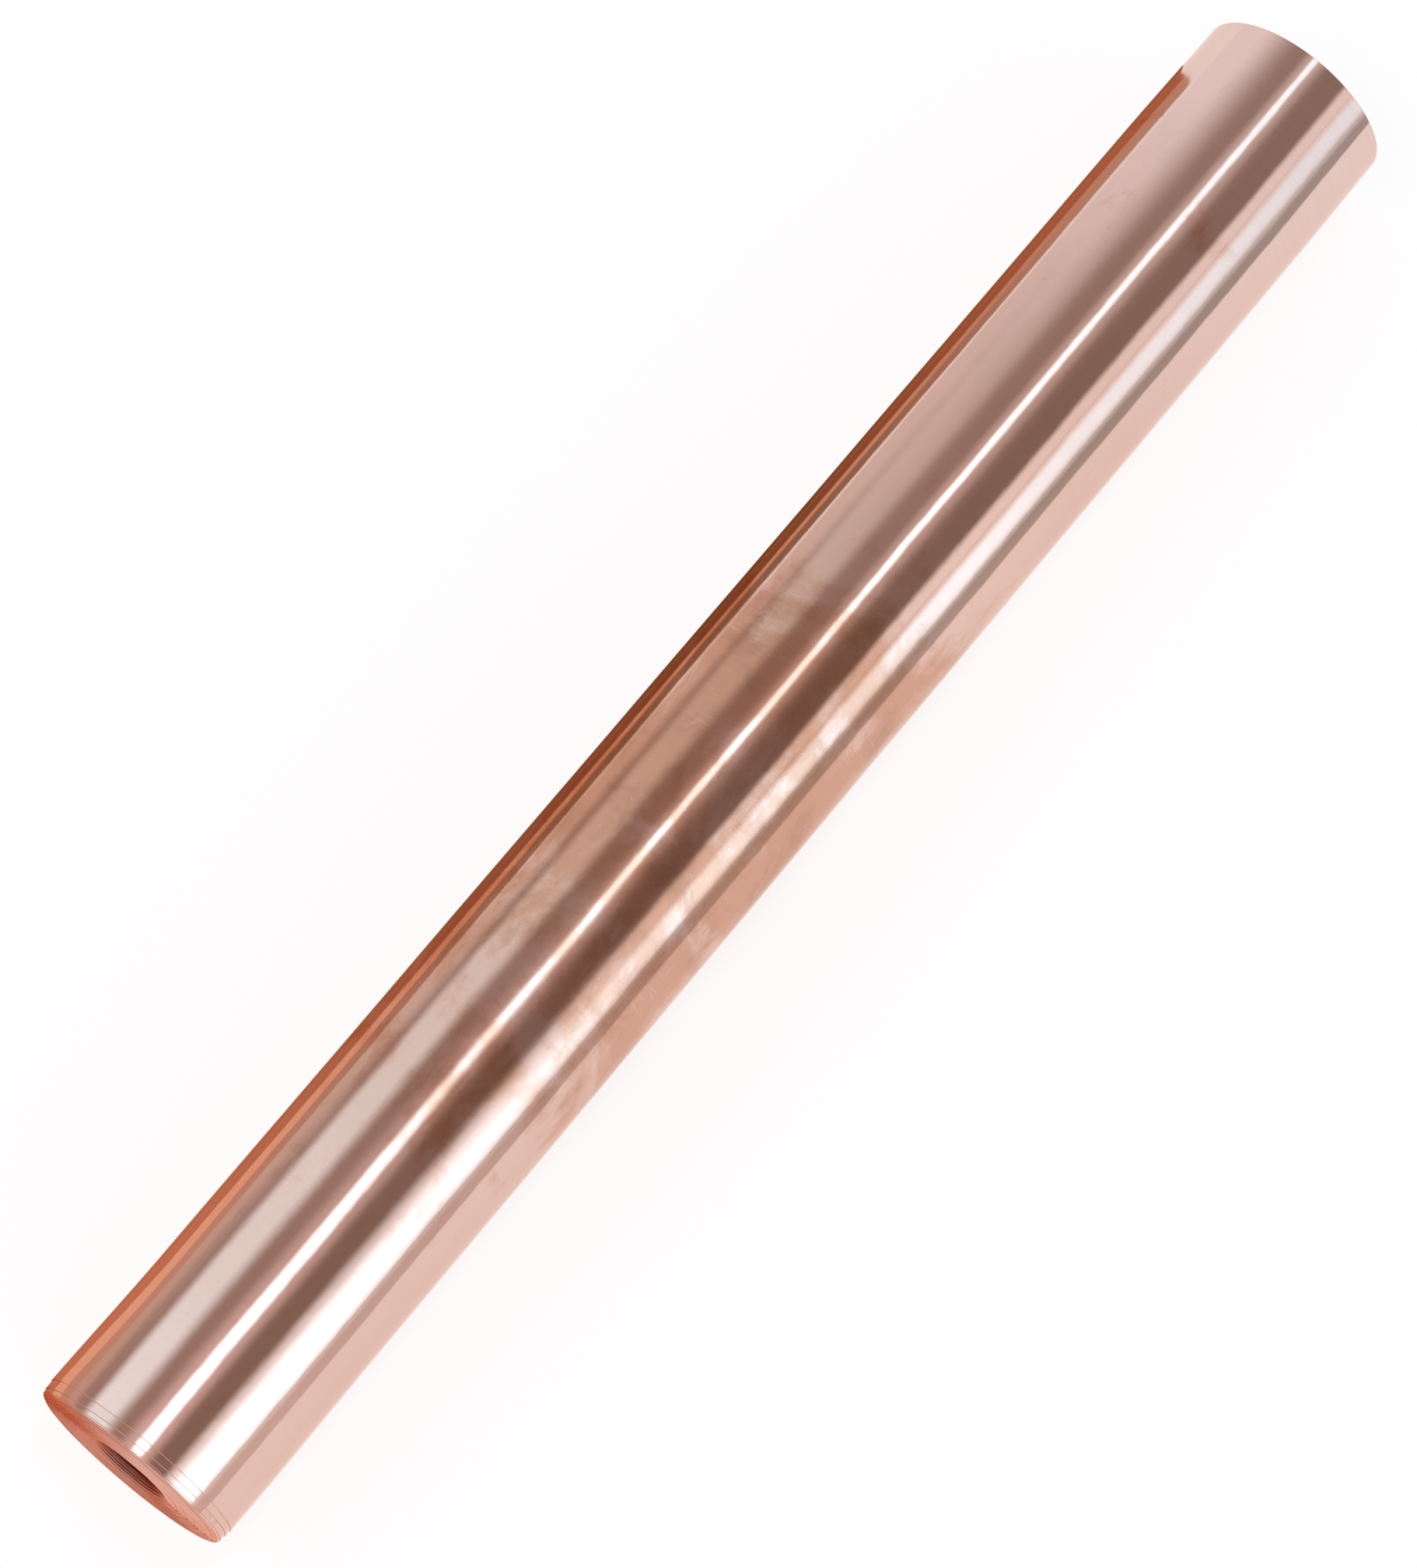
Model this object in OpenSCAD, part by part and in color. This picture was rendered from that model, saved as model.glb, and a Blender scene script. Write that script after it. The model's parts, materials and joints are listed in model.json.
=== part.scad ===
// Roll of bare copper foil, wound on itself without a core, lying on its side.
// Millimetres. The roll's axis runs along X. +Z is up and the roll rests on z = 0.
// The origin is on the surface it rests on, under the middle of the roll.
// Angles around the roll start at its underside and go towards +Y.

/* [Foil] */
// Width of the foil strip
foil_width = 304.8; // [100:0.1:610]
// Thickness of the foil
foil_thickness = 0.127; // [0.1:0.001:0.2]
// Air between neighbouring laps inside the roll
lap_air = 0.0045; // [0.002:0.0005:0.02]
// Air between the loosely wound outermost laps
outer_lap_air = 0.013; // [0.01:0.001:0.05]

/* [Winding] */
// Radius of the open eye in the middle
eye_radius = 3.95; // [2:0.05:10]
// Laps wound tightly together in one group
laps_per_group = 7; // [3:1:12]
// Running gap between two groups, so that one can slide in the next
slip_gap = 0.03; // [0.01:0.005:0.05]
// How far the last lap's edge is set back from the wound end at -X
rim_setback = 3; // [0:0.1:8]
// How steeply the setback grows through the outermost laps
setback_power = 3.25; // [1:0.05:6]

/* [Free ends] */
// Angle at which the tail leaves the last lap
tail_start_angle = 8; // [0:1:40]
// Angle that each bending length of the tail covers
tail_piece_angle = 15; // [8:1:20]
// Gap between two bending lengths of the tail
tail_piece_gap = 0.03; // [0.01:0.01:0.2]
// Gap from the tail's free edge to the start of the last lap
free_edge_gap = 0.15; // [0.05:0.05:1]
// Angle by which the innermost lap stops short of a full turn
inner_end_opening = 60; // [5:1:80]

/* [Hidden] */
$fn = 96;
group_count = 15;
outer_lap_count = 3;
tail_piece_count = 6;
flush_groups = 12;
full_turn = 360;

lap_pitch = foil_thickness + lap_air;
outer_lap_pitch = foil_thickness + outer_lap_air;
group_pitch = laps_per_group * lap_pitch;
group_thickness = group_pitch - slip_gap;
first_group_radius = eye_radius + lap_pitch;
first_outer_lap_radius = first_group_radius + group_count * group_pitch;
last_lap_radius = first_outer_lap_radius + (outer_lap_count - 1) * outer_lap_pitch;
roll_radius = last_lap_radius + foil_thickness;

layer_count = group_count + outer_lap_count;
roll_length = foil_width + rim_setback;
tail_end_angle = tail_start_angle + tail_piece_count * tail_piece_angle;

copper = [0.86, 0.55, 0.44];
pale_copper = [0.92, 0.68, 0.58];
dark_copper = [0.62, 0.36, 0.26];

// How far a layer's edge is set back from the wound end. Layers count outwards from the eye.
function setback(layer) =
    rim_setback * pow(max(layer - flush_groups, 0) / (layer_count - flush_groups), setback_power);

// The angle that a length of arc covers on the roll's surface
function arc_angle(length) = length / roll_radius * full_turn / (2 * PI);

// One layer of wound foil, as wide as the strip, from one angle through a sweep of angle
module wound_layer(inner_radius, thickness, layer, start_angle = 0, sweep = full_turn) {
    translate([-roll_length / 2 + setback(layer), 0, roll_radius])
        rotate([0, 90, 0])
            rotate([0, 0, start_angle])
                rotate_extrude(angle = sweep)
                    translate([inner_radius, 0])
                        square([thickness, foil_width]);
}

// The start of the strip: the innermost lap, which stops short of a full turn
module inner_end() {
    color(dark_copper)
        wound_layer(eye_radius, foil_thickness, 0, tail_end_angle + inner_end_opening,
                    full_turn - inner_end_opening);
}

// A band of laps that stay together when the roll is pushed out of line
module lap_group(number) {
    color(number % 2 == 0 ? copper : pale_copper)
        wound_layer(first_group_radius + (number - 1) * group_pitch, group_thickness, number);
}

// A single lap near the outside, whose edge shows as a fine line around the rim
module outer_lap(number) {
    color(copper)
        wound_layer(first_outer_lap_radius + (number - 1) * outer_lap_pitch, foil_thickness,
                    group_count + number);
}

// The last lap, from under the strip's free edge round to where the tail begins
module last_lap() {
    start_angle = tail_end_angle + arc_angle(free_edge_gap);
    color(pale_copper)
        wound_layer(last_lap_radius, foil_thickness, layer_count, start_angle,
                    full_turn + tail_start_angle - start_angle);
}

// One bending length of the strip's free end
module tail_piece(number) {
    gap_angle = arc_angle(tail_piece_gap);
    color(number % 2 == 0 ? copper : pale_copper)
        wound_layer(last_lap_radius, foil_thickness, layer_count,
                    tail_start_angle + (number - 1) * tail_piece_angle + gap_angle,
                    tail_piece_angle - gap_angle);
}

inner_end();
lap_group(1);  // lap_group_01
lap_group(2);  // lap_group_02
lap_group(3);  // lap_group_03
lap_group(4);  // lap_group_04
lap_group(5);  // lap_group_05
lap_group(6);  // lap_group_06
lap_group(7);  // lap_group_07
lap_group(8);  // lap_group_08
lap_group(9);  // lap_group_09
lap_group(10);  // lap_group_10
lap_group(11);  // lap_group_11
lap_group(12);  // lap_group_12
lap_group(13);  // lap_group_13
lap_group(14);  // lap_group_14
lap_group(15);  // lap_group_15
outer_lap(1);  // outer_lap_1
outer_lap(2);  // outer_lap_2
last_lap();
tail_piece(1);  // tail_1
tail_piece(2);  // tail_2
tail_piece(3);  // tail_3
tail_piece(4);  // tail_4
tail_piece(5);  // tail_5
tail_piece(6);  // tail_6
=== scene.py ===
import json
import math

import bpy
import numpy as np
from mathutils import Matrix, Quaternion, Vector

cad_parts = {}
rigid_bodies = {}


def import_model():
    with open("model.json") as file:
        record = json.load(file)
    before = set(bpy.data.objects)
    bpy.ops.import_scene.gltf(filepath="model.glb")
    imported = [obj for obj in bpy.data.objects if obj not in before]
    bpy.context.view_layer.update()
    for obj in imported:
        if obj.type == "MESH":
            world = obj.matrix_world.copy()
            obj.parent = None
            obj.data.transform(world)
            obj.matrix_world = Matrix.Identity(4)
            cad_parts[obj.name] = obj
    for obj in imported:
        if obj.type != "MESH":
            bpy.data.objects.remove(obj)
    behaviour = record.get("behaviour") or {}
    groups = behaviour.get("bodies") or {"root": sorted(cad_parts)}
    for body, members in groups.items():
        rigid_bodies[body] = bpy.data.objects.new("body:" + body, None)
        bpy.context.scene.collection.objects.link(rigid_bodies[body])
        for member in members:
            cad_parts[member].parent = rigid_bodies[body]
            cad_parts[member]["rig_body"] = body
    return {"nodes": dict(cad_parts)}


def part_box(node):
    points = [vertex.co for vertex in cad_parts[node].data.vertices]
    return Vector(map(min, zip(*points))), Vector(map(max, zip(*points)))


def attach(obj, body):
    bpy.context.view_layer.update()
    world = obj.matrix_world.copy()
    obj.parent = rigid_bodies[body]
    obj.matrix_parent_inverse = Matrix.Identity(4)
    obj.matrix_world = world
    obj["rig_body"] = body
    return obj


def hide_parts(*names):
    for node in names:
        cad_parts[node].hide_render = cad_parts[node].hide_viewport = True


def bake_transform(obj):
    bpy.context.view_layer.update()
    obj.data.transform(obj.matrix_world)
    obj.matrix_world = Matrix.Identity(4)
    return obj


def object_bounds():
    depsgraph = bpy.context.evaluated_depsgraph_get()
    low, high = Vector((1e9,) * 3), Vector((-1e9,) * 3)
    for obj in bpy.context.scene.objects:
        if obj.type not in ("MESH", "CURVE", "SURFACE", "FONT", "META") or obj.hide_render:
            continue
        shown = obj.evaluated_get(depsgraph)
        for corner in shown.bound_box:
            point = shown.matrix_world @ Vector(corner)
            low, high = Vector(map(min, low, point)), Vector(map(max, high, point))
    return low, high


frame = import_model()
cad_low, cad_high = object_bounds()

MM = 0.001

# ---------------------------------------------------------------- sizes, from the frame


def ring_outer(node):
    """Outer radius of a node that goes all the way round the roll."""
    low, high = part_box(node)
    return (high.z - low.z) / 2


GROUPS = sorted(name for name in frame["nodes"] if name.startswith("lap_group_"))
OUTER_LAPS = ("outer_lap_1", "outer_lap_2", "last_lap")
TAIL_PIECES = sorted(name for name in frame["nodes"] if name.startswith("tail_"))

NEAR_X = cad_low.x
FAR_X = cad_high.x
AXIS_Z = (cad_low.z + cad_high.z) / 2
ROLL_RADIUS = (cad_high.z - cad_low.z) / 2
ROLL_LENGTH = FAR_X - NEAR_X
FOIL_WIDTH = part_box("inner_end")[1].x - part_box("inner_end")[0].x
END_OFFSET = ROLL_LENGTH - FOIL_WIDTH

FOIL = 0.127 * MM
LAPS_PER_GROUP = 7
LAP_PITCH = (ring_outer(GROUPS[1]) - ring_outer(GROUPS[0])) / LAPS_PER_GROUP
GROUP_LAPS = LAPS_PER_GROUP * len(GROUPS)
ALL_LAPS = GROUP_LAPS + len(OUTER_LAPS)
INNER_END_SWEEP = 300 / 360

# angles round the roll go from the underside towards +Y
TAIL_START = math.radians(8)
TAIL_STEP = math.radians(15)
TAIL_END = TAIL_START + TAIL_STEP * len(TAIL_PIECES)
FREE_EDGE_GAP = math.radians(0.5)


def lap_end_radii():
    """Inner radius of the foil where each lap ends, from the innermost lap outwards."""
    radii = [ring_outer("inner_end") - FOIL]
    for group in GROUPS:
        outermost = ring_outer(group) - FOIL
        radii += [outermost - LAP_PITCH * left for left in reversed(range(LAPS_PER_GROUP))]
    radii += [ring_outer(node) - FOIL for node in OUTER_LAPS]
    return np.array(radii)


LAP_RADII = lap_end_radii()

# ---------------------------------------------------------------- the wound strip


def wound_radius(turns):
    """Inner radius of the foil after so many turns: one unbroken spiral."""
    spiral = np.interp(turns, np.arange(len(LAP_RADII)), LAP_RADII)
    return spiral + np.minimum(turns, 0) * LAP_PITCH


DRIFT_LAP = 102  # from this lap on the edge drifts in, all the way in 5.2 laps
ROUNDING_LAP = 94  # from this lap on the rim is a little rounded
FUNNEL_LAPS = 30  # the innermost laps sink in, the first of them most


def edge_setback(turns):
    """How far the near edge lies in from the end of the roll: the last laps drift, the first sink."""
    drift = END_OFFSET * np.clip((turns - DRIFT_LAP) / 5.2, 0, None) ** 4
    rounding = 0.2 * MM * np.clip((turns - ROUNDING_LAP) / 10, 0, 1) ** 2
    funnel = 1.7 * MM * np.clip(1 - turns / FUNNEL_LAPS, 0, 1.1) ** 1.2
    return np.minimum(drift + rounding, END_OFFSET - 0.03 * MM) + funnel


def edge_wander(turns):
    """The small in and out of the edges from lap to lap, which draws the rings on the end."""
    slow = 1 + np.sin(math.tau * 0.071 * turns + 0.6)
    ring = 1 + np.sin(math.tau * 0.183 * turns + 2.1)
    fine = 1 + np.sin(math.tau * 0.437 * turns + 4.0)
    calm = np.clip((GROUP_LAPS + 1 - turns) / 3, 0, 1)
    return calm * MM * (0.05 * slow + 0.055 * ring + 0.03 * fine)


def lobe(theta, centre, half_width):
    """1 at an angle round the roll, falling smoothly to 0 at half_width either side."""
    off = (theta - math.radians(centre) + math.pi) % math.tau - math.pi
    t = np.clip(1 - np.abs(off) / math.radians(half_width), 0, 1)
    return t * t * (3 - 2 * t)


def ease(t):
    t = np.clip(t, 0, 1)
    return t * t * (3 - 2 * t)


def out_of_round(x, theta):
    """Radial departure of the whole roll from a true cylinder, at its surface: the near rim
    flares on one side and swells on the other, the far end is pinched, and the rest is wavy."""
    from_near = x - NEAR_X
    from_far = FAR_X - x
    flare = 0.5 * ease(1 - from_near / (30 * MM)) * lobe(theta, 118, 28)
    swell = 0.16 * np.exp(-(((from_near - 13 * MM) / (13 * MM)) ** 2)) * lobe(theta, 296, 38)
    pinch = 0.2 * ease(1 - from_far / (22 * MM))
    along = math.tau * from_near / ROLL_LENGTH
    slack = 1 + np.sin(2 * theta + 3.1 * along + 0.7) * np.sin(2.3 * along + theta + 1.1)
    ripple = 1 + np.sin(5 * theta - 4.3 * along) * np.sin(6.1 * along + 2 * theta + 0.4)
    return MM * (flare + swell - pinch - 0.03 * slack - 0.007 * ripple)


def foil_point(turns, across, height):
    """A point of the foil: turns along the strip, a distance across it, a height in its thickness."""
    theta = TAIL_END + math.tau * turns
    x = NEAR_X + edge_setback(turns) + edge_wander(turns) + across
    radius = wound_radius(turns) + height
    radius = radius + out_of_round(x, theta) * radius / ROLL_RADIUS
    return np.stack([x, radius * np.sin(theta), AXIS_Z - radius * np.cos(theta)], axis=-1)


ROLL_OVER = 0.09 * MM  # how far in from a slit edge the foil's outer face starts to turn down
ROLL_OVER_STEPS = (0, 0.08, 0.35, 1)
EDGE_COLUMNS = len(ROLL_OVER_STEPS) - 1
CUT_SHARE = 0.3  # share of the thickness that the slitter leaves square


def columns(inside):
    """Distances across the strip, close together over the slit edges."""
    edge = ROLL_OVER * np.array(ROLL_OVER_STEPS)
    return np.concatenate([edge, inside, (FOIL_WIDTH - edge)[::-1]])


def face_height(across):
    """Height of the foil's outer face: its full thickness, rounded off at the slit edges."""
    t = np.clip(np.minimum(across, FOIL_WIDTH - across) / ROLL_OVER, 0, 1)
    return FOIL * (CUT_SHARE + (1 - CUT_SHARE) * np.sqrt(1 - (1 - t) ** 2))


def section(across):
    """Once round the strip's section: over the outer face and back along the inner one."""
    height = np.concatenate([face_height(across), np.zeros(len(across))])
    return np.concatenate([across, across[::-1]]), height


def strip_grid(turns, across):
    """Points of a strip: one row for each place along it, each row a closed section."""
    places, heights = section(across)
    return foil_point(turns[:, None], places[None, :], heights[None, :])


def strip_normals(turns, across):
    """Outward normals at the grid's points, from the slopes of the surface itself."""
    step = 1e-4
    along = strip_grid(turns + step, across) - strip_grid(turns - step, across)
    grid = strip_grid(turns, across)
    around = np.roll(grid, -1, axis=1) - np.roll(grid, 1, axis=1)
    normal = np.cross(around, along)
    return normal / np.linalg.norm(normal, axis=-1, keepdims=True)


def strip_faces(rows, across_count):
    """Quads along the strip, then the two cut ends."""
    around = 2 * across_count
    ids = np.arange(rows * around).reshape(rows, around)
    nxt = np.roll(ids, -1, axis=1)
    sides = np.stack([ids[:-1], nxt[:-1], nxt[1:], ids[1:]], axis=-1).reshape(-1, 4)
    ends = []
    for row, order in ((ids[0], (3, 2, 1, 0)), (ids[-1], (0, 1, 2, 3))):
        outer, inner = row[:across_count], row[:across_count - 1:-1]
        corners = np.stack([outer[:-1], outer[1:], inner[1:], inner[:-1]], axis=-1)
        ends.append(corners[:, order])
    return sides, np.concatenate(ends)


def strip_piece(name, start, end, steps, inside, materials):
    """One closed length of foil between two turn counts, with its normals and its own map."""
    turns = np.linspace(start, end, steps + 1)
    across = columns(inside)
    grid = strip_grid(turns, across)
    normals = strip_normals(turns, across).reshape(-1, 3)
    sides, ends = strip_faces(len(turns), len(across))
    mesh = bpy.data.meshes.new(name)
    faces = np.concatenate([sides, ends])
    mesh.from_pydata(grid.reshape(-1, 3).tolist(), [], faces.tolist())
    mesh.update()
    for material in materials:
        mesh.materials.append(material)

    around = grid.shape[1]
    column = sides[:, 0] % around
    last = len(across) - 1
    rolled = (column < EDGE_COLUMNS) | ((column >= last - EDGE_COLUMNS) & (column < last))
    cut = (column == last) | (column == around - 1)
    index = np.concatenate([np.where(cut, 2, rolled.astype(int)), np.full(len(ends), 2)])
    mesh.polygons.foreach_set("material_index", index.astype(np.int32))
    smooth = np.concatenate([np.ones(len(sides), bool), np.zeros(len(ends), bool)])
    mesh.polygons.foreach_set("use_smooth", smooth)

    corner_vertex = np.zeros(len(mesh.loops), np.int32)
    mesh.loops.foreach_get("vertex_index", corner_vertex)
    corner_normals = normals[corner_vertex]
    corner_normals[len(sides) * 4:] = 0
    mesh.normals_split_custom_set(corner_normals.tolist())

    length = math.tau * turns * (LAP_RADII[0] + wound_radius(turns)) / 2
    u, v = np.meshgrid(length, section(across)[0] - FOIL_WIDTH / 2, indexing="ij")
    points = np.stack([u, v], axis=-1).reshape(-1, 2)
    layer = mesh.uv_layers.new(name="strip")
    layer.data.foreach_set("uv", points[corner_vertex].astype(np.float32).ravel())

    piece = bpy.data.objects.new(name, mesh)
    bpy.context.scene.collection.objects.link(piece)
    return piece


# ---------------------------------------------------------------- node helpers


def add_node(tree, kind, **settings):
    node = tree.nodes.new("ShaderNode" + kind)
    for key, value in settings.items():
        setattr(node, key, value)
    return node


def feed(tree, socket, value):
    """Sets a socket to a number or colour, or links it to another socket."""
    if isinstance(value, bpy.types.NodeSocket):
        tree.links.new(value, socket)
    else:
        socket.default_value = value


def calc(tree, operation, *values):
    node = add_node(tree, "Math", operation=operation)
    for socket, value in zip(node.inputs, values):
        feed(tree, socket, value)
    return node.outputs[0]


def remap(tree, value, low, high, to_low=0.0, to_high=1.0, smooth=True):
    kind = "SMOOTHSTEP" if smooth else "LINEAR"
    node = add_node(tree, "MapRange", interpolation_type=kind)
    for name, given in zip(
        ("Value", "From Min", "From Max", "To Min", "To Max"),
        (value, low, high, to_low, to_high),
    ):
        feed(tree, node.inputs[name], given)
    return node.outputs["Result"]


def mix_colour(tree, factor, a, b):
    node = add_node(tree, "Mix", data_type="RGBA")
    feed(tree, node.inputs["Factor"], factor)
    for socket, value in ((node.inputs[6], a), (node.inputs[7], b)):
        feed(tree, socket, value if isinstance(value, bpy.types.NodeSocket) else (*value, 1))
    return node.outputs[2]


def noise_field(tree, vector, scale, detail=3.0, roughness=0.5, distortion=0.0):
    node = add_node(tree, "TexNoise", noise_dimensions="3D")
    feed(tree, node.inputs["Vector"], vector)
    node.inputs["Scale"].default_value = scale
    node.inputs["Detail"].default_value = detail
    node.inputs["Roughness"].default_value = roughness
    node.inputs["Distortion"].default_value = distortion
    return node.outputs["Fac"]


def stretched(tree, vector, scale, turn=0.0):
    """The same coordinates, turned in the strip's plane and scaled along and across it."""
    node = add_node(tree, "Mapping")
    feed(tree, node.inputs["Vector"], vector)
    node.inputs["Scale"].default_value = scale
    node.inputs["Rotation"].default_value = (0, 0, math.radians(turn))
    return node.outputs["Vector"]


# ---------------------------------------------------------------- materials

COPPER = (0.77, 0.52, 0.445)
PALE_COPPER = (0.765, 0.57, 0.52)
TARNISH = (0.63, 0.335, 0.235)
DEEP_TARNISH = (0.53, 0.275, 0.182)
# painted shade: the colour given to the first laps deep in the eye, where the bore is in shade
CORE_SHADE = (0.3, 0.07, 0.04)
SHOULDER_COPPER = (0.8, 0.47, 0.375)
# redder than the face copper: painted reflection of the light bouncing between the laps' cut edges
EDGE_COPPER_WITH_BOUNCE = (0.86, 0.42, 0.31)
GRAZING_TINT = (0.97, 0.86, 0.81)
EDGE_TINT = (0.95, 0.6, 0.5)
# painted shade: the darkened grazing tint of the first laps deep in the eye
EYE_SHADE_TINT = (0.45, 0.13, 0.09)


def metal_shader(tree, base, roughness, anisotropic, normal, tint=GRAZING_TINT):
    shader = tree.nodes["Principled BSDF"]
    feed(tree, shader.inputs["Base Color"], base)
    feed(tree, shader.inputs["Roughness"], roughness)
    feed(tree, shader.inputs["Normal"], normal)
    shader.inputs["Metallic"].default_value = 1
    feed(tree, shader.inputs["Specular Tint"], (*tint, 1) if isinstance(tint, tuple) else tint)
    shader.inputs["Anisotropic"].default_value = anisotropic
    shader.inputs["Anisotropic Rotation"].default_value = 0.25
    tangent = add_node(tree, "Tangent", direction_type="UV_MAP", uv_map="strip")
    tree.links.new(tangent.outputs[0], shader.inputs["Tangent"])


def new_material(name):
    material = bpy.data.materials.new(name)
    material.use_nodes = True
    tree = material.node_tree
    strip = add_node(tree, "UVMap", uv_map="strip").outputs[0]
    return material, tree, strip


def strip_place(tree, strip):
    """Length along the strip from its inner end, and distance from the strip's middle line."""
    place = add_node(tree, "SeparateXYZ")
    tree.links.new(strip, place.inputs[0])
    return place.outputs[0], place.outputs[1]


def bump(tree, height, distance, strength=1.0, under=None):
    node = add_node(tree, "Bump")
    if under is not None:
        tree.links.new(under, node.inputs["Normal"])
    node.inputs["Strength"].default_value = strength
    node.inputs["Distance"].default_value = distance
    feed(tree, node.inputs["Height"], height)
    return node.outputs[0]


def shaded(colour, share):
    return tuple(c * share for c in colour)


def tarnish(tree, strip):
    """Brown clouds and finger smears, mostly over the middle: where they are, and how deep."""
    _, across = strip_place(tree, strip)
    rises = remap(tree, across, -0.128, -0.046, -0.11, 0.065)
    falls = remap(tree, across, 0.015, 0.066, 0.0, -0.19)
    bias = calc(tree, "ADD", rises, falls)
    clouds = noise_field(tree, strip, 38, detail=10, roughness=0.62, distortion=0.9)
    smears = noise_field(tree, stretched(tree, strip, (260, 90, 1), 28), 1, detail=8, roughness=0.7)
    clouds = calc(tree, "MULTIPLY", clouds, 0.72)
    smears = calc(tree, "MULTIPLY", smears, 0.28)
    pattern = calc(tree, "ADD", calc(tree, "ADD", clouds, smears), bias)
    slanted = stretched(tree, strip, (95, 75, 1), -20)
    patches = noise_field(tree, slanted, 1, detail=9, roughness=0.65, distortion=0.6)
    return remap(tree, pattern, 0.46, 0.6), remap(tree, patches, 0.47, 0.66)


def hairlines(tree, strip):
    """Fine handling scratches: they run mostly round the roll, in loose patches."""
    lines = None
    for turn, scale in ((2, (55, 4200, 1)), (-9, (90, 3300, 1)), (68, (160, 3000, 1))):
        field = noise_field(tree, stretched(tree, strip, scale, turn), 1, detail=1)
        thin = remap(tree, calc(tree, "ABSOLUTE", calc(tree, "SUBTRACT", field, 0.5)), 0.012, 0)
        lines = thin if lines is None else calc(tree, "MAXIMUM", lines, thin)
    patches = remap(tree, noise_field(tree, strip, 55, detail=3), 0.5, 0.7)
    return calc(tree, "MULTIPLY", lines, patches)


def specks(tree, strip):
    """Scattered tiny pits and crumbs."""
    cells = add_node(tree, "TexVoronoi", voronoi_dimensions="2D")
    feed(tree, cells.inputs["Vector"], strip)
    cells.inputs["Scale"].default_value = 110
    return remap(tree, cells.outputs["Distance"], 0.022, 0.012)


def rolled_copper(name, handled):
    """Bright rolled foil. A handled face also has tarnish, smears, hairlines and specks; an unhandled
    one has painted shade over its first laps, deep in the bore.
    """
    material, tree, strip = new_material(name)
    length, across = strip_place(tree, strip)
    grain = noise_field(tree, stretched(tree, strip, (25, 5000, 1)), 1, detail=2)
    cast = noise_field(tree, strip, 18, detail=4)
    base = mix_colour(tree, remap(tree, cast, 0.3, 0.7), COPPER, shaded(COPPER, 0.95))
    base = mix_colour(tree, remap(tree, across, 0.06, 0.15), base, PALE_COPPER)
    base = mix_colour(tree, remap(tree, grain, 0.4, 0.8, 0, 0.4), base, shaded(COPPER, 0.93))
    roughness = remap(tree, grain, 0.3, 0.7, 0.07, 0.1, smooth=False)
    height = grain
    if handled:
        stained, deep = tarnish(tree, strip)
        stain = mix_colour(tree, deep, TARNISH, DEEP_TARNISH)
        base = mix_colour(tree, calc(tree, "MULTIPLY", stained, 0.9), base, stain)
        scratched = hairlines(tree, strip)
        base = mix_colour(tree, calc(tree, "MULTIPLY", scratched, 0.35), base, (0.86, 0.62, 0.52))
        spots = specks(tree, strip)
        base = mix_colour(tree, calc(tree, "MULTIPLY", spots, 0.6), base, (0.88, 0.5, 0.33))
        extra = calc(tree, "MULTIPLY", calc(tree, "MAXIMUM", stained, scratched), 0.03)
        roughness = calc(tree, "ADD", roughness, extra)
        height = calc(tree, "SUBTRACT", grain, calc(tree, "MAXIMUM", scratched, spots))
    else:
        # painted shade: the first laps darken towards the core, deep in the bore
        base = mix_colour(tree, remap(tree, length, 0.02, 0.3), CORE_SHADE, base)
        roughness = calc(tree, "ADD", roughness, remap(tree, length, 0.1, 0, 0, 0.3))
    dents = noise_field(tree, stretched(tree, strip, (110, 70, 1), 12), 1, detail=3)
    wavy = bump(tree, dents, 0.00005)
    metal_shader(tree, base, roughness, 0.5, bump(tree, height, 0.000004, 0.15, under=wavy))
    return material


def painted_eye_shade(tree, strip, base):
    """Painted shade deep in the eye: a colour and its grazing tint, both darkened over the first
    laps.
    """
    length, _ = strip_place(tree, strip)
    lit = remap(tree, length, 0.1, 0.95)
    base = mix_colour(tree, lit, CORE_SHADE, base)
    return base, mix_colour(tree, lit, EYE_SHADE_TINT, EDGE_TINT)


def rolled_shoulder(name):
    """The rounded rim beside the slit, where the foil catches light from lap to lap."""
    material, tree, strip = new_material(name)
    marks = noise_field(tree, stretched(tree, strip, (240, 900, 1)), 1, detail=3)
    dull = shaded(SHOULDER_COPPER, 0.85)
    base = mix_colour(tree, remap(tree, marks, 0.35, 0.7), SHOULDER_COPPER, dull)
    base, tint = painted_eye_shade(tree, strip, base)
    metal_shader(tree, base, 0.26, 0.3, bump(tree, marks, 0.00001, 0.3), tint)
    return material


def slit_edge(name):
    """The cut edge of the foil: duller copper with fine slitting marks across it, made redder as a
    painted reflection of the light that bounces between the laps' edges.
    """
    material, tree, strip = new_material(name)
    marks = noise_field(tree, stretched(tree, strip, (900, 60, 1)), 1, detail=3)
    patches = noise_field(tree, strip, 70, detail=3)
    # the redder edge colours are painted reflection of light bouncing between the laps' edges
    base = mix_colour(tree, remap(tree, patches, 0.3, 0.7), EDGE_COPPER_WITH_BOUNCE, (0.8, 0.36, 0.26))
    base = mix_colour(tree, remap(tree, marks, 0.55, 0.75), base, (0.9, 0.52, 0.42))
    base, tint = painted_eye_shade(tree, strip, base)
    metal_shader(tree, base, 0.34, 0.3, bump(tree, marks, 0.00002, 0.3), tint)
    return material


# ---------------------------------------------------------------- the roll

LAP_STEPS = 96
near_columns = np.array([3, 13, 30]) * MM
inner_columns = np.concatenate([near_columns, [FOIL_WIDTH / 2], FOIL_WIDTH - near_columns[::-1]])
face_columns = np.linspace(0, FOIL_WIDTH, 62)[1:-1]

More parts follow.
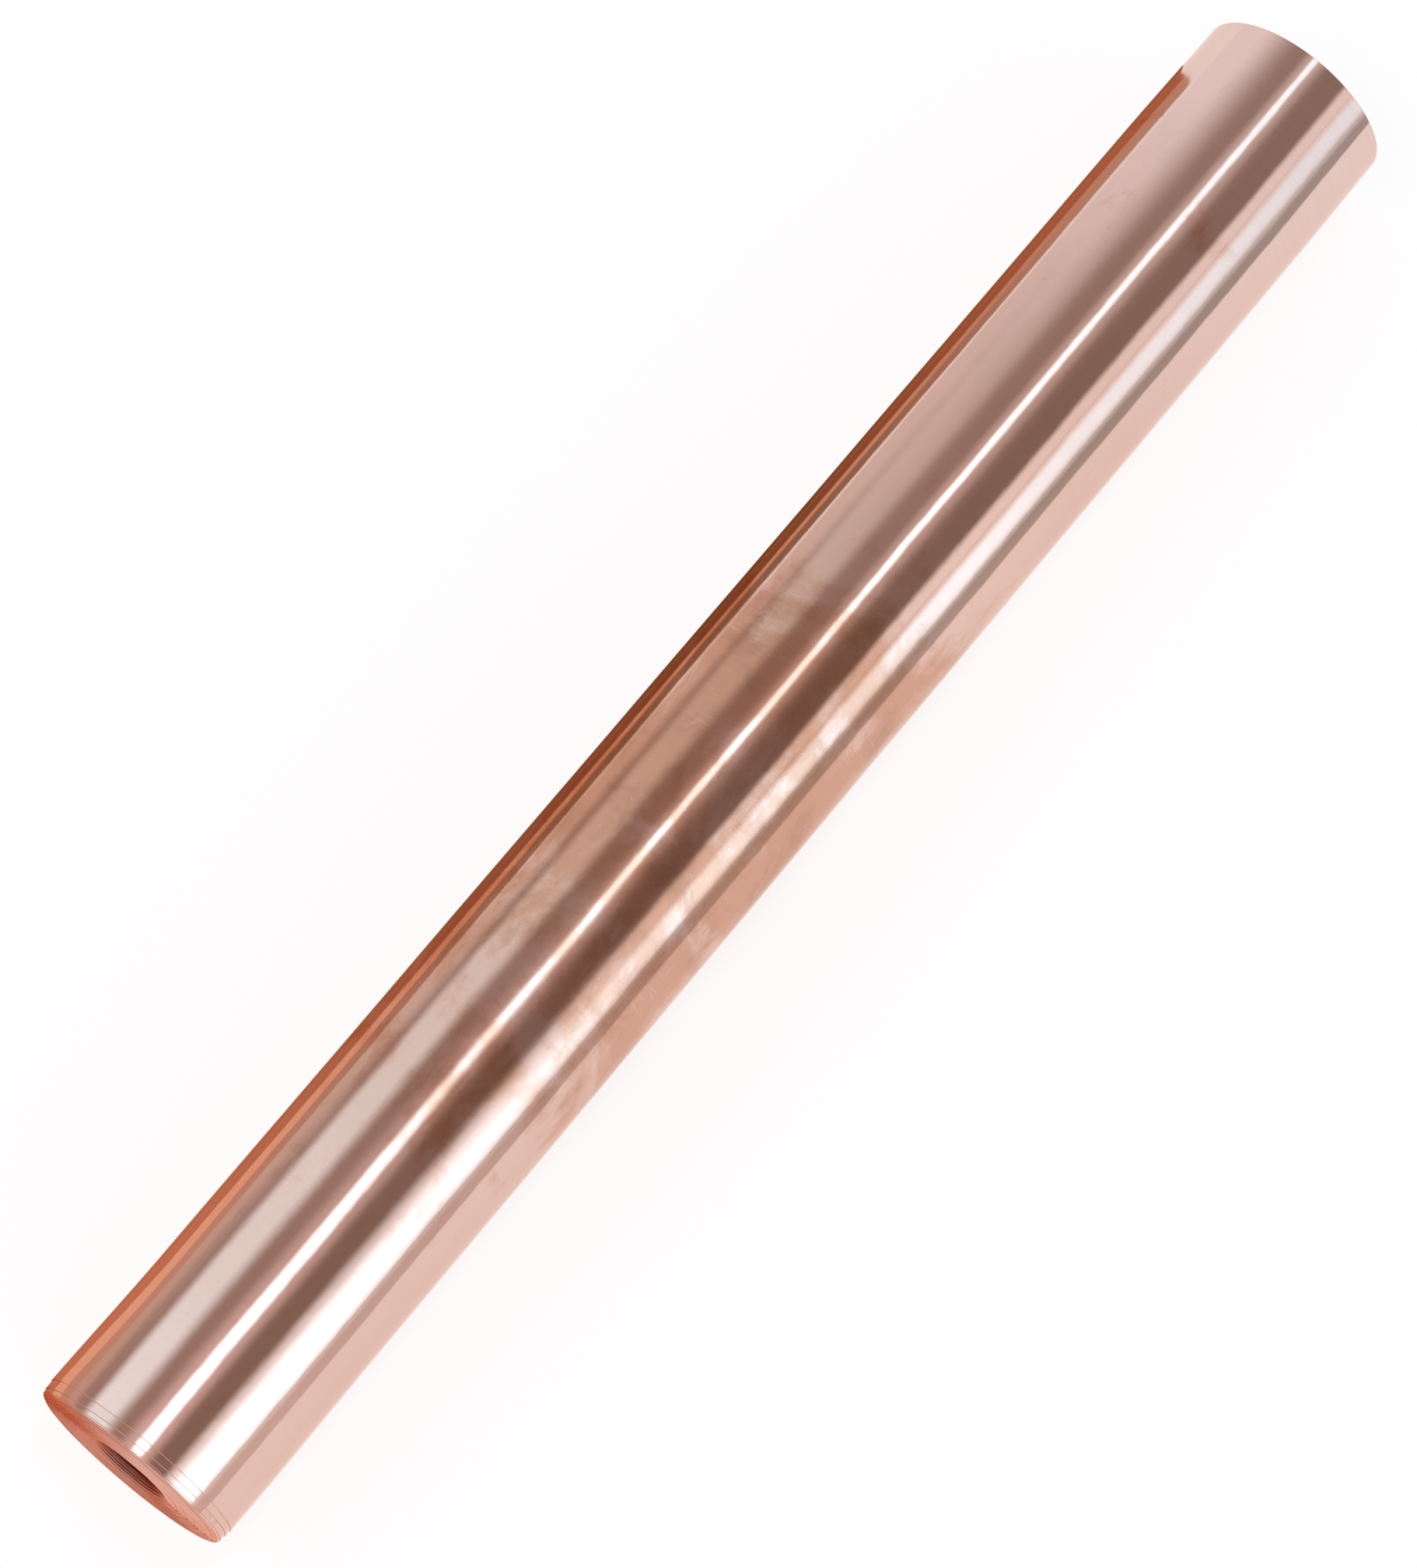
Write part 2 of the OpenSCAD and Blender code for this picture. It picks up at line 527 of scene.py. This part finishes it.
outer_copper = rolled_copper("handled_copper", handled=True)
inner_copper = rolled_copper("clean_copper", handled=False)
edge_materials = (rolled_shoulder("copper_shoulder"), slit_edge("slit_copper_edge"))
outer_materials = (outer_copper, *edge_materials)
inner_materials = (inner_copper, *edge_materials)


def add_inner_end():
    steps = round(LAP_STEPS * INNER_END_SWEEP)
    piece = strip_piece("foil_inner_end", -INNER_END_SWEEP, 0, steps, inner_columns, inner_materials)
    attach(piece, "core_laps")
    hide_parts("inner_end")


def add_lap_groups():
    for number, node in enumerate(GROUPS):
        start = number * LAPS_PER_GROUP
        steps = LAP_STEPS * LAPS_PER_GROUP
        name = node.replace("lap_group", "foil_laps")
        piece = strip_piece(
            name, start, start + LAPS_PER_GROUP, steps, inner_columns, inner_materials
        )
        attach(piece, frame["nodes"][node]["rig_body"])
        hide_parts(node)


def add_outer_laps():
    steps = 2 * LAP_STEPS
    for number, node in enumerate(OUTER_LAPS[:-1]):
        start = GROUP_LAPS + number
        piece = strip_piece("foil_" + node, start, start + 1, steps, inner_columns, outer_materials)
        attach(piece, "outer_wrap")
        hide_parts(node)


def turns_at(theta):
    """Turn count on the last lap at an angle, for angles up to the foil's free end."""
    return ALL_LAPS - (TAIL_END - theta) / math.tau


def add_last_lap():
    """The last lap up to the first bend of the tail."""
    start = ALL_LAPS - 1 + FREE_EDGE_GAP / math.tau
    end = turns_at(TAIL_START - TAIL_STEP / 2)
    steps = round((end - start) * 360)
    piece = strip_piece("foil_last_lap", start, end, steps, face_columns, outer_materials)
    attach(piece, "outer_wrap")
    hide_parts("last_lap")


def add_tail():
    """The lifting end of the foil: one length over each hinge, left where it lies at rest, then the
    free edge, which goes with the last tail body.
    """
    bodies = ["outer_wrap"] + [frame["nodes"][node]["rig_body"] for node in TAIL_PIECES]
    steps = 16
    for number, node in enumerate(TAIL_PIECES):
        hinge = TAIL_START + number * TAIL_STEP
        first = hinge - TAIL_STEP / 2
        last = hinge + TAIL_STEP / 2
        name = "foil_" + node.replace("tail_", "tail_bend_")
        piece = strip_piece(
            name, turns_at(first), turns_at(last), steps, face_columns, outer_materials
        )
        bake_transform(piece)
        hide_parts(node)
    tip = strip_piece(
        "foil_free_edge", turns_at(TAIL_END - TAIL_STEP / 2), ALL_LAPS,
        steps // 2, face_columns, outer_materials,
    )
    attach(tip, bodies[-1])


# ---------------------------------------------------------------- stage, light and camera


def add_plane(name, corners, material, faces=None):
    mesh = bpy.data.meshes.new(name)
    mesh.from_pydata(corners, [], faces or [tuple(range(len(corners)))])
    mesh.update()
    mesh.materials.append(material)
    plane = bpy.data.objects.new(name, mesh)
    bpy.context.scene.collection.objects.link(plane)
    return plane


def rectangle(x_low, x_high, y_low, y_high, z):
    return [(x_low, y_low, z), (x_high, y_low, z), (x_high, y_high, z), (x_low, y_high, z)]


def only_in_reflections(card):
    """A studio card that shapes the reflections and stays out of the picture otherwise."""
    card.visible_camera = False
    card.visible_diffuse = False
    card.visible_shadow = False


# a little below the surface that the roll rests on, which the lifted tail dips under by 0.18 mm
FLOOR_Z = -0.12 * MM


def add_floor():
    material = bpy.data.materials.new("floor_white")
    material.use_nodes = True
    shader = material.node_tree.nodes["Principled BSDF"]
    shader.inputs["Base Color"].default_value = (0.3, 0.3, 0.3, 1)
    shader.inputs["Roughness"].default_value = 1
    shader.inputs["Specular IOR Level"].default_value = 0
    shader.inputs["Emission Color"].default_value = (1, 1, 1, 1)
    shader.inputs["Emission Strength"].default_value = 0.78
    reach = 4.0
    add_plane("floor", rectangle(-reach, reach, -reach, reach, FLOOR_Z), material)


def glowing(name, colour_at):
    """A material that only glows, with a colour that may change from place to place."""
    material = bpy.data.materials.new(name)
    material.use_nodes = True
    tree = material.node_tree
    tree.nodes.remove(tree.nodes["Principled BSDF"])
    place = add_node(tree, "SeparateXYZ")
    tree.links.new(add_node(tree, "TexCoord").outputs["Object"], place.inputs[0])
    emission = add_node(tree, "Emission")
    feed(tree, emission.inputs["Color"], colour_at(tree, place.outputs["X"], place.outputs["Y"]))
    output = tree.nodes["Material Output"]
    tree.links.new(emission.outputs[0], output.inputs["Surface"])
    return material


def along_roll(near, middle, far):
    """A colour that changes from the near end to the middle to the far end of the roll."""
    def colour_at(tree, x, y):
        first = mix_colour(tree, remap(tree, x, -0.14, 0.02), near, middle)
        return mix_colour(tree, remap(tree, x, 0.04, 0.14), first, far)
    return colour_at


def flag_colour(tree, x, y):
    """Dark close to the roll and paler far away, and darker towards the far end."""
    to_far = remap(tree, x, -0.12, 0.16, smooth=False)
    away = remap(tree, y, -0.19, -0.6)
    dark = mix_colour(tree, to_far, (0.76, 0.67, 0.64), (0.45, 0.44, 0.42))
    pale = mix_colour(tree, to_far, (1.0, 0.96, 1.0), (0.68, 0.7, 0.7))
    return mix_colour(tree, away, dark, pale)


CARD_Y = 45 * MM
CARD_START = -0.5
CARD_END = FAR_X - 5 * MM
CARD_NOSE = 8 * MM  # how far the rounded nose of the cards goes past that
FOOT_REACH = 4 * MM  # how much further they reach at the floor
# heights of the cards' long edges at distances along the roll, in mm
EDGE_X = (-500, -150, -70, 20, 80, 160)
TOP_EDGE = (33.5, 33.5, 33, 29.6, 30, 29.2)
BRIGHT_EDGE = (28, 27.5, 24.6, 20.8, 22, 22.5)
RUST_HEIGHT = 16
RUST_EDGE = (RUST_HEIGHT,) * len(EDGE_X)
FOOT_EDGE = (0.5,) * len(EDGE_X)
NOSE_LOW = 13  # where the nose's rounded end meets its upright end, and how far it rises from there
NOSE_RISE = 21


def add_card(name, low_edge, high_edge, colours):
    """An upright strip of card along the roll between two of the edges."""
    straight = np.linspace(CARD_START, CARD_END, 60)
    nose = CARD_END + CARD_NOSE * np.sin(np.linspace(0, math.pi / 2, 12))[1:]
    x = np.concatenate([straight, nose])
    past = np.clip((x - CARD_END) / CARD_NOSE, 0, 1)
    limit = NOSE_LOW + NOSE_RISE * np.sqrt(1 - past**3)
    high = np.minimum(np.interp(x / MM, EDGE_X, high_edge), limit)
    low = np.minimum(np.interp(x / MM, EDGE_X, low_edge), high)
    x_low = x + FOOT_REACH * np.clip(1 - low / RUST_HEIGHT, 0, 1)
    corners = [(a, CARD_Y, z * MM) for a, z in zip(x_low, low)]
    corners += [(a, CARD_Y, z * MM) for a, z in zip(x, high)]
    count = len(x)
    faces = [(k, k + 1, count + k + 1, count + k) for k in range(count - 1)]
    material = glowing("glow_" + name, along_roll(*colours))
    only_in_reflections(add_plane(name, corners, material, faces))


def add_cards():
    """Warm cards along the far side of the roll and a grey flag on the floor before it."""
    pinkish = ((0.68, 0.42, 0.33), (0.34, 0.2, 0.13), (0.58, 0.36, 0.27))
    bright = ((0.97, 0.58, 0.41), (0.74, 0.4, 0.27), (0.64, 0.33, 0.23))
    rust = ((0.68, 0.28, 0.17), (0.29, 0.105, 0.046), (0.49, 0.17, 0.083))
    dark_rust = ((0.6, 0.24, 0.13), (0.26, 0.09, 0.035), (0.42, 0.15, 0.07))
    add_card("card_top", BRIGHT_EDGE, TOP_EDGE, pinkish)
    add_card("card_bright", RUST_EDGE, BRIGHT_EDGE, bright)
    add_card("card_rust", FOOT_EDGE, RUST_EDGE, rust)
    corners = rectangle(CARD_START, CARD_END + CARD_NOSE, 16 * MM, CARD_Y, 0.3 * MM)
    corners[1] = (CARD_END + CARD_NOSE - 2 * MM, 16 * MM, 0.3 * MM)
    corners[2] = (CARD_END + CARD_NOSE + FOOT_REACH, CARD_Y, 0.3 * MM)
    material = glowing("glow_card_foot", along_roll(*dark_rust))
    only_in_reflections(add_plane("card_foot", corners, material))
    corners = rectangle(-1.5, 3.0, -3.9, -99 * MM, 1 * MM)
    only_in_reflections(add_plane("grey_flag", corners, glowing("glow_flag", flag_colour)))


END_WALL = (0.84, 0.77, 0.75)
SHADE = ((0.42, 0.32, 0.285), (0.385, 0.31, 0.285), (0.37, 0.285, 0.25))
CEILING = ((0.305, 0.225, 0.19), (0.25, 0.185, 0.165), (0.31, 0.235, 0.2))
# angle in degrees from overhead towards -Y where a band of light starts, is full, starts to
# fade and ends, then its colour at the near end, the middle and the far end of the roll, or
# None where there is no such band
LIGHT_BANDS = (
    ("dark_ceiling", (17, 34, 170, 180), *CEILING),
    ("side_wall_near", (-112, -92, -84, -74), (0.67, 0.5, 0.44), None, None),
    ("side_wall_middle", (-104, -94, -78, -60), None, (0.9, 0.81, 0.74), None),
    ("side_wall_far", (-106, -92, -62, -11), None, None, (0.96, 0.94, 0.96)),
    ("back_softbox", (-67, -54, -36, -19), (1.05, 1.3, 1.43), (0.84, 0.83, 0.79), None),
    ("halo_near", (-14, 1, 16, 30), (0.86, 0.72, 0.72), None, None),
    ("halo", (-6, 4, 13, 26), None, (0.66, 0.56, 0.54), (0.66, 0.58, 0.55)),
    ("strip_near", (1, 6, 13, 18), (2.2, 2.9, 3.4), None, None),
    ("strip", (4, 8, 10, 14.5), None, (2.3, 3.0, 3.5), (1.42, 1.7, 1.86)),
    ("window_near", (44, 55, 86, 99), (1.14, 1.26, 1.34), None, None),
    ("window", (49.5, 57, 84, 95), None, (1.08, 1.12, 1.12), (0.97, 0.92, 0.9)),
    ("window_bar", (63.5, 65, 66, 67.5), None, (0.94, 0.9, 0.88), (0.9, 0.84, 0.82)),
    ("core_near", (53, 69, 78, 95), (2.3, 3.0, 3.5), None, None),
    ("core", (66.5, 74, 81, 96), None, (1.6, 2.2, 2.6), (1.02, 1.22, 1.34)),
)


def three_stops(tree, share, near, middle, far):
    """A colour that runs from near to middle to far as the share goes from 0 to 1."""
    first = mix_colour(tree, remap(tree, share, 0, 0.5, smooth=False), near, middle)
    return mix_colour(tree, remap(tree, share, 0.5, 1, smooth=False), first, far)


def band_weight(tree, angle, share, stops, colours):
    """How much of a band there is: by angle, and none where it has no colour."""
    start, full, fade, end = stops
    rises = remap(tree, angle, start, full)
    falls = remap(tree, angle, end, fade)
    weight = calc(tree, "MULTIPLY", rises, falls)
    if None in colours:
        present = [(0, 0, 0) if colour is None else (1, 1, 1) for colour in colours]
        weight = calc(tree, "MULTIPLY", weight, three_stops(tree, share, *present))
    return weight


def add_world():
    """Long soft lights that run beside the roll, on a plain pale background."""
    world = bpy.data.worlds.new("studio")
    world.use_nodes = True
    tree = world.node_tree
    tree.nodes.clear()
    place = add_node(tree, "SeparateXYZ")
    tree.links.new(add_node(tree, "TexCoord").outputs["Generated"], place.inputs[0])
    across = calc(tree, "MULTIPLY", place.outputs["Y"], -1.0)
    angle = calc(tree, "DEGREES", calc(tree, "ARCTAN2", across, place.outputs["Z"]))
    share = remap(tree, place.outputs["X"], 0.12, 0.42, smooth=False)
    light = three_stops(tree, share, *SHADE)
    for _, stops, *colours in LIGHT_BANDS:
        weight = band_weight(tree, angle, share, stops, colours)
        near, middle, far = colours
        middle = middle or near or far
        colour = three_stops(tree, share, near or middle, middle, far or middle)
        light = mix_colour(tree, weight, light, colour)
    light = mix_colour(tree, remap(tree, place.outputs["X"], 0.04, -0.3), light, END_WALL)
    studio = add_node(tree, "Background")
    tree.links.new(light, studio.inputs["Color"])
    pale = add_node(tree, "Background")
    pale.inputs["Color"].default_value = (1, 1, 1, 1)
    seen = add_node(tree, "LightPath").outputs["Is Camera Ray"]
    mix = add_node(tree, "MixShader")
    tree.links.new(seen, mix.inputs[0])
    tree.links.new(studio.outputs[0], mix.inputs[1])
    tree.links.new(pale.outputs[0], mix.inputs[2])
    output = add_node(tree, "OutputWorld")
    tree.links.new(mix.outputs[0], output.inputs["Surface"])
    bpy.context.scene.world = world


def add_camera():
    """A long lens, high over the near end of the roll and turned to put it on the diagonal."""
    azimuth = math.radians(-46.347)
    elevation = math.radians(67.416)
    roll = math.radians(-5.666)
    distance = 908.64 * MM
    aim = Vector((-7.306 * MM, 0.313 * MM, 18.311 * MM))
    level = math.cos(elevation)
    back = Vector((math.sin(azimuth) * level, -math.cos(azimuth) * level, math.sin(elevation)))
    camera = bpy.data.objects.new("camera", bpy.data.cameras.new("camera"))
    camera.data.sensor_width = 36
    camera.data.lens = 127.19
    camera.rotation_mode = "QUATERNION"
    camera.location = aim + back * distance
    facing = (-back).to_track_quat("-Z", "Y")
    camera.rotation_quaternion = facing @ Quaternion((0, 0, 1), roll)
    bpy.context.scene.collection.objects.link(camera)
    bpy.context.scene.camera = camera


bpy.context.scene.view_settings.view_transform = "Standard"
add_inner_end()
add_lap_groups()
add_outer_laps()
add_last_lap()
add_tail()
add_floor()
add_cards()
add_world()
add_camera()
